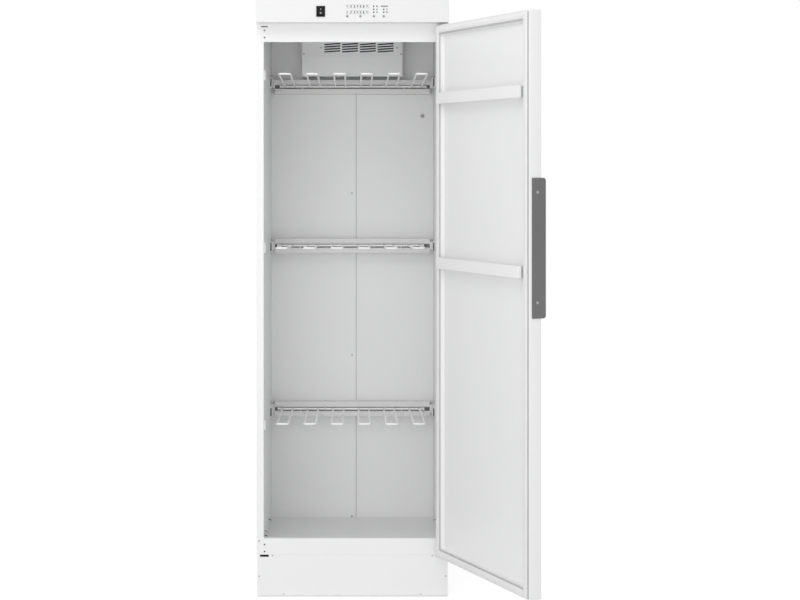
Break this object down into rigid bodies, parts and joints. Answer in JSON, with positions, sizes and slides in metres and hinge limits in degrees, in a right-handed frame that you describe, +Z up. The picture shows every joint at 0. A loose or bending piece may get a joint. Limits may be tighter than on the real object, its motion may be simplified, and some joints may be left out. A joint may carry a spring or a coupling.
{
  "type": "drying cabinet",
  "caption": "Tall steel drying cabinet on a plinth with a hinged door, fold-up hanging racks, door rails, control fascia, and a fan and heater in the top.",
  "frame": {"origin": "on the floor under the middle of the carcass, between the four levelling feet", "axes": "+Z up, the front with the door faces -Y, +X to the right of a person in front"},
  "size_m": [0.8356, 1.1619, 1.88],
  "materials": {
    "white_enamel": "satin powder coat",
    "liner_enamel": "satin powder coat",
    "rack_coating": "gloss white coating",
    "zinc_steel": "zinc plated",
    "screw_steel": "zinc plated",
    "heater_tube": "heat tinted tube",
    "motor_grey": "satin",
    "handle_grey": "satin dark grey",
    "black_plastic": "fine grain",
    "white_plastic": "smooth",
    "dark_plastic": "fine grain",
    "button_grey": "smooth",
    "window_clear": "smooth, pale",
    "lamp_clear": "clear dome, unlit",
    "board_green": "solder mask",
    "seal_rubber": "white rubber",
    "mineral_wool": "pressed wool board"
  },
  "bodies": {
    "cabinet": {"base_frame": "zinc_steel", "levelling_feet": "black_plastic", "kick_plate": "white_enamel", "kick_plate_screws": "screw_steel", "front_frame": "white_enamel", "left_side_panel": "white_enamel", "right_side_panel": "white_enamel", "top_panel": "white_enamel", "rear_panel": "white_enamel", "left_inner_wall": "liner_enamel", "right_inner_wall": "liner_enamel", "rear_inner_wall_left": "liner_enamel", "rear_inner_wall_right": "liner_enamel", "seam_screws": "screw_steel", "floor_pan": "liner_enamel", "inner_ceiling": "liner_enamel", "side_insulation": "mineral_wool", "rear_insulation": "mineral_wool", "duct_cover": "liner_enamel", "intake_grille": "liner_enamel", "cover_screws": "screw_steel", "heating_element": "heater_tube", "fan_housing": "zinc_steel", "fan_motor": "motor_grey", "exhaust_collar": "zinc_steel", "control_fascia": "white_enamel", "control_board": "board_green", "switch_housing": "black_plastic", "indicator_windows": "window_clear", "indicator_lamps": "lamp_clear", "cable_gland": "black_plastic", "upper_rack_rail": "rack_coating", "middle_rack_rail": "rack_coating", "lower_rack_rail": "rack_coating", "rail_end_brackets": "rack_coating", "bracket_screws": "screw_steel", "wall_buffers": "white_plastic", "humidity_sensor": "zinc_steel", "upper_hinge_plate": "zinc_steel", "lower_hinge_plate": "zinc_steel", "hinge_screws": "screw_steel"},
    "fan": {"fan_wheel": "zinc_steel"},
    "rocker": {"power_rocker": "black_plastic"},
    "button_program": {"program_button": "button_grey"},
    "button_time": {"time_button": "button_grey"},
    "button_heat": {"heat_button": "button_grey"},
    "button_start": {"start_button": "button_grey"},
    "rack_upper": {"upper_hanging_rack": "rack_coating"},
    "rack_middle": {"middle_hanging_rack": "rack_coating"},
    "rack_lower": {"lower_hanging_rack": "rack_coating"},
    "door": {"door_outer_panel": "white_enamel", "door_inner_panel": "white_enamel", "door_insulation": "mineral_wool", "door_seal": "seal_rubber", "door_rail_upper": "rack_coating", "door_rail_lower": "rack_coating", "door_rail_spacers": "dark_plastic", "door_handle": "handle_grey", "handle_screws": "screw_steel", "hinge_bushes": "black_plastic"}
  },
  "joints": [
    {"name": "door_hinge", "type": "hinge", "parent": "cabinet", "child": "door", "pos_m": [0.2845, -0.3155, 0.95], "axis": [0, 0, 1], "range_deg": [-112.8, 7.2]},
    {"name": "upper_rack_fold", "type": "hinge", "parent": "cabinet", "child": "rack_upper", "pos_m": [0, 0.2053, 1.606], "axis": [-1, 0, 0], "range_deg": [0, 16]},
    {"name": "middle_rack_fold", "type": "hinge", "parent": "cabinet", "child": "rack_middle", "pos_m": [0, 0.2053, 1.068], "axis": [-1, 0, 0], "range_deg": [0, 84]},
    {"name": "lower_rack_fold", "type": "hinge", "parent": "cabinet", "child": "rack_lower", "pos_m": [0, 0.2053, 0.515], "axis": [-1, 0, 0], "range_deg": [0, 84]},
    {"name": "fan_spin", "type": "hinge", "parent": "cabinet", "child": "fan", "pos_m": [0.021, 0.2063, 1.8], "axis": [0, 0, 1], "continuous": true},
    {"name": "power_rocker_tilt", "type": "hinge", "parent": "cabinet", "child": "rocker", "pos_m": [-0.0976, -0.327, 1.8118], "axis": [1, 0, 0], "range_deg": [0, 14]},
    {"name": "program_button_press", "type": "slide", "parent": "cabinet", "child": "button_program", "axis": [0, 1, 0], "range_m": [0, 0.0015], "stiffness_N_per_m": 300, "springref_m": -0.0003},
    {"name": "time_button_press", "type": "slide", "parent": "cabinet", "child": "button_time", "axis": [0, 1, 0], "range_m": [0, 0.0015], "stiffness_N_per_m": 300, "springref_m": -0.0003},
    {"name": "heat_button_press", "type": "slide", "parent": "cabinet", "child": "button_heat", "axis": [0, 1, 0], "range_m": [0, 0.0015], "stiffness_N_per_m": 300, "springref_m": -0.0003},
    {"name": "start_button_press", "type": "slide", "parent": "cabinet", "child": "button_start", "axis": [0, 1, 0], "range_m": [0, 0.0015], "stiffness_N_per_m": 300, "springref_m": -0.0003}
  ]
}
